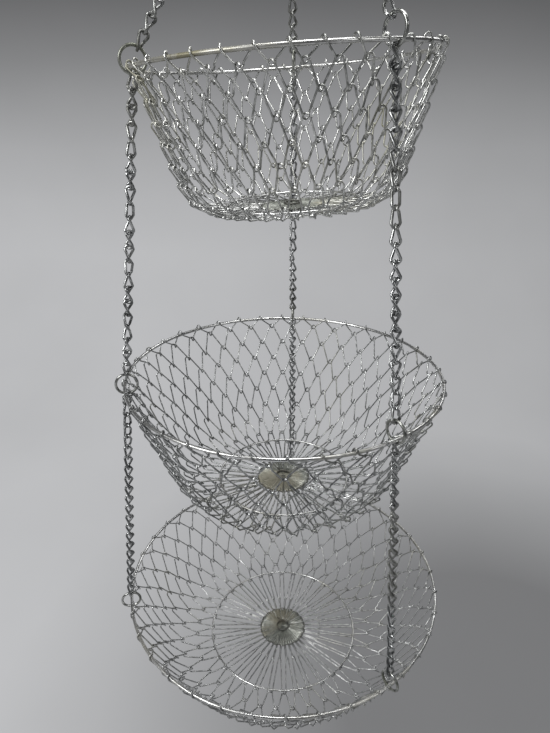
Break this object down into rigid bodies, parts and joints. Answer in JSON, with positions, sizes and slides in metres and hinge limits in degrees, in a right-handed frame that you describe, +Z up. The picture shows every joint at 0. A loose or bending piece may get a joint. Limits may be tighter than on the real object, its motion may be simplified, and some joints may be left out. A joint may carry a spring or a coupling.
{
  "type": "hanging fruit basket",
  "caption": "Three-tier hanging fruit basket: round galvanised wire-mesh bowls of growing size, hung one under another on chains from a ring and an S-hook.",
  "frame": {"origin": "the point inside the top of the S-hook that rests on a ceiling fitting", "axes": "+Z up along the hanging line, +X to the right and +Y to the back as the picture shows the object"},
  "size_m": [0.3128, 0.3169, 0.7745],
  "materials": {
    "rim_wire": "bright galvanised wire",
    "mesh_wire": "dull galvanised wire",
    "chain_wire": "galvanised wire",
    "floor_wire": "galvanised wire, slightly stained"
  },
  "bodies": {
    "hook": {"hang_hook": "rim_wire"},
    "hanger": {"hang_ring": "rim_wire"},
    "top_tier": {"top_chain_left": "chain_wire", "top_chain_back": "chain_wire", "top_chain_right": "chain_wire", "top_rim": "rim_wire", "top_split_rings": "rim_wire", "top_rim_hooks": "mesh_wire", "top_wall_mesh": "mesh_wire", "top_corner_mesh": "mesh_wire", "top_floor_mesh": "mesh_wire", "top_spokes": "mesh_wire", "top_base_ring": "floor_wire", "top_spoke_ring": "floor_wire", "top_hub": "floor_wire"},
    "middle_first_left": {"middle_first_link_left": "chain_wire"},
    "middle_span_left": {"middle_chain_left": "chain_wire"},
    "middle_last_left": {"middle_last_link_left": "chain_wire"},
    "middle_first_back": {"middle_first_link_back": "chain_wire"},
    "middle_span_back": {"middle_chain_back": "chain_wire"},
    "middle_last_back": {"middle_last_link_back": "chain_wire"},
    "middle_first_right": {"middle_first_link_right": "chain_wire"},
    "middle_span_right": {"middle_chain_right": "chain_wire"},
    "middle_last_right": {"middle_last_link_right": "chain_wire"},
    "middle_tier": {"middle_rim": "rim_wire", "middle_split_rings": "rim_wire", "middle_rim_hooks": "mesh_wire", "middle_wall_mesh": "mesh_wire", "middle_corner_mesh": "mesh_wire", "middle_floor_mesh": "mesh_wire", "middle_spokes": "mesh_wire", "middle_base_ring": "floor_wire", "middle_spoke_ring": "floor_wire", "middle_hub": "floor_wire"},
    "bottom_first_left": {"bottom_first_link_left": "chain_wire"},
    "bottom_span_left": {"bottom_chain_left": "chain_wire"},
    "bottom_last_left": {"bottom_last_link_left": "chain_wire"},
    "bottom_first_back": {"bottom_first_link_back": "chain_wire"},
    "bottom_span_back": {"bottom_chain_back": "chain_wire"},
    "bottom_last_back": {"bottom_last_link_back": "chain_wire"},
    "bottom_first_right": {"bottom_first_link_right": "chain_wire"},
    "bottom_span_right": {"bottom_chain_right": "chain_wire"},
    "bottom_last_right": {"bottom_last_link_right": "chain_wire"},
    "bottom_tier": {"bottom_rim": "rim_wire", "bottom_split_rings": "rim_wire", "bottom_rim_hooks": "mesh_wire", "bottom_wall_mesh": "mesh_wire", "bottom_corner_mesh": "mesh_wire", "bottom_floor_mesh": "mesh_wire", "bottom_spokes": "mesh_wire", "bottom_base_ring": "floor_wire", "bottom_spoke_ring": "floor_wire", "bottom_hub": "floor_wire"}
  },
  "joints": [
    {"name": "hanger_on_hook", "type": "hinge", "parent": "hook", "child": "hanger", "pos_m": [0, 0, -0.0425], "axis": [0, 1, 0], "range_deg": [-8, 8]},
    {"name": "top_tier_on_hanger", "type": "hinge", "parent": "hanger", "child": "top_tier", "pos_m": [0, 0, -0.06755], "axis": [1, 0, 0], "range_deg": [-8, 8]},
    {"name": "middle_sway_front_back", "type": "hinge", "parent": "top_tier", "child": "middle_first_left", "pos_m": [-0.1044, -0.02803, -0.23506], "axis": [1, 0, 0], "range_deg": [-6, 6]},
    {"name": "middle_sway_left_right", "type": "hinge", "parent": "middle_first_left", "child": "middle_span_left", "pos_m": [-0.10549, -0.02832, -0.24416], "axis": [0, 1, 0], "range_deg": [-6, 6]},
    {"name": "middle_last_left_swing", "type": "hinge", "parent": "middle_span_left", "child": "middle_last_left", "pos_m": [-0.12883, -0.03452, -0.43882], "axis": [0, 1, 0], "range_deg": [-5.08, 5.08]},
    {"name": "middle_first_back_swing", "type": "hinge", "parent": "top_tier", "child": "middle_first_back", "pos_m": [0.00942, 0.10788, -0.22792], "axis": [1, 0, 0], "range_deg": [-5.95, 5.95]},
    {"name": "middle_span_back_swing", "type": "hinge", "parent": "middle_first_back", "child": "middle_span_back", "pos_m": [0.00952, 0.10901, -0.23737], "axis": [0, 1, 0], "range_deg": [-5.96, 5.96]},
    {"name": "middle_last_back_swing", "type": "hinge", "parent": "middle_span_back", "child": "middle_last_back", "pos_m": [0.01162, 0.13288, -0.43848], "axis": [0, 1, 0], "range_deg": [-4.96, 4.96]},
    {"name": "middle_first_right_swing", "type": "hinge", "parent": "top_tier", "child": "middle_first_right", "pos_m": [0.06199, -0.08871, -0.22463], "axis": [1, 0, 0], "range_deg": [-5.87, 5.87]},
    {"name": "middle_span_right_swing", "type": "hinge", "parent": "middle_first_right", "child": "middle_span_right", "pos_m": [0.06264, -0.08964, -0.23423], "axis": [0, 1, 0], "range_deg": [-5.87, 5.87]},
    {"name": "middle_last_right_swing", "type": "hinge", "parent": "middle_span_right", "child": "middle_last_right", "pos_m": [0.0765, -0.10926, -0.43832], "axis": [0, 1, 0], "range_deg": [-4.89, 4.89]},
    {"name": "middle_tier_swing", "type": "hinge", "parent": "middle_last_left", "child": "middle_tier", "pos_m": [-0.12993, -0.03481, -0.44792], "axis": [1, 0, 0], "range_deg": [-5.02, 5.02]},
    {"name": "bottom_sway_front_back", "type": "hinge", "parent": "middle_tier", "child": "bottom_first_left", "pos_m": [-0.13155, -0.03525, -0.46463], "axis": [1, 0, 0], "range_deg": [-6, 6]},
    {"name": "bottom_sway_left_right", "type": "hinge", "parent": "bottom_first_left", "child": "bottom_span_left", "pos_m": [-0.13217, -0.03541, -0.47372], "axis": [0, 1, 0], "range_deg": [-6, 6]},
    {"name": "bottom_last_left_swing", "type": "hinge", "parent": "bottom_span_left", "child": "bottom_last_left", "pos_m": [-0.14534, -0.03894, -0.66824], "axis": [0, 1, 0], "range_deg": [-5.61, 5.61]},
    {"name": "bottom_first_back_swing", "type": "hinge", "parent": "middle_tier", "child": "bottom_first_back", "pos_m": [0.01187, 0.13567, -0.46463], "axis": [1, 0, 0], "range_deg": [-6.15, 6.15]},
    {"name": "bottom_span_back_swing", "type": "hinge", "parent": "bottom_first_back", "child": "bottom_span_back", "pos_m": [0.01192, 0.13631, -0.47372], "axis": [0, 1, 0], "range_deg": [-6.15, 6.15]},
    {"name": "bottom_last_back_swing", "type": "hinge", "parent": "bottom_span_back", "child": "bottom_last_back", "pos_m": [0.01311, 0.14989, -0.66824], "axis": [0, 1, 0], "range_deg": [-5.61, 5.61]},
    {"name": "bottom_first_right_swing", "type": "hinge", "parent": "middle_tier", "child": "bottom_first_right", "pos_m": [0.07812, -0.11156, -0.46463], "axis": [1, 0, 0], "range_deg": [-6.15, 6.15]},
    {"name": "bottom_span_right_swing", "type": "hinge", "parent": "bottom_first_right", "child": "bottom_span_right", "pos_m": [0.07848, -0.11208, -0.47372], "axis": [0, 1, 0], "range_deg": [-6.15, 6.15]},
    {"name": "bottom_last_right_swing", "type": "hinge", "parent": "bottom_span_right", "child": "bottom_last_right", "pos_m": [0.0863, -0.12326, -0.66824], "axis": [0, 1, 0], "range_deg": [-5.6, 5.6]},
    {"name": "bottom_tier_swing", "type": "hinge", "parent": "bottom_last_left", "child": "bottom_tier", "pos_m": [-0.14596, -0.03911, -0.67733], "axis": [1, 0, 0], "range_deg": [-5.56, 5.56]}
  ],
  "couplings": [
    {"joint": "middle_last_left_swing", "follows": "middle_sway_left_right", "ratio": -0.8216},
    {"joint": "middle_first_back_swing", "follows": "middle_sway_front_back", "ratio": 0.9674},
    {"joint": "middle_span_back_swing", "follows": "middle_sway_left_right", "ratio": 0.9682},
    {"joint": "middle_last_back_swing", "follows": "middle_sway_left_right", "ratio": -0.8009},
    {"joint": "middle_first_right_swing", "follows": "middle_sway_front_back", "ratio": 0.9534},
    {"joint": "middle_span_right_swing", "follows": "middle_sway_left_right", "ratio": 0.9542},
    {"joint": "middle_last_right_swing", "follows": "middle_sway_left_right", "ratio": -0.7898},
    {"joint": "middle_tier_swing", "follows": "middle_sway_front_back", "ratio": -0.8116},
    {"joint": "bottom_last_left_swing", "follows": "bottom_sway_left_right", "ratio": -0.9097},
    {"joint": "bottom_first_back_swing", "follows": "bottom_sway_front_back", "ratio": 1},
    {"joint": "bottom_span_back_swing", "follows": "bottom_sway_left_right", "ratio": 1},
    {"joint": "bottom_last_back_swing", "follows": "bottom_sway_left_right", "ratio": -0.9096},
    {"joint": "bottom_first_right_swing", "follows": "bottom_sway_front_back", "ratio": 1},
    {"joint": "bottom_span_right_swing", "follows": "bottom_sway_left_right", "ratio": 0.9999},
    {"joint": "bottom_last_right_swing", "follows": "bottom_sway_left_right", "ratio": -0.9087},
    {"joint": "bottom_tier_swing", "follows": "bottom_sway_front_back", "ratio": -0.9014}
  ]
}
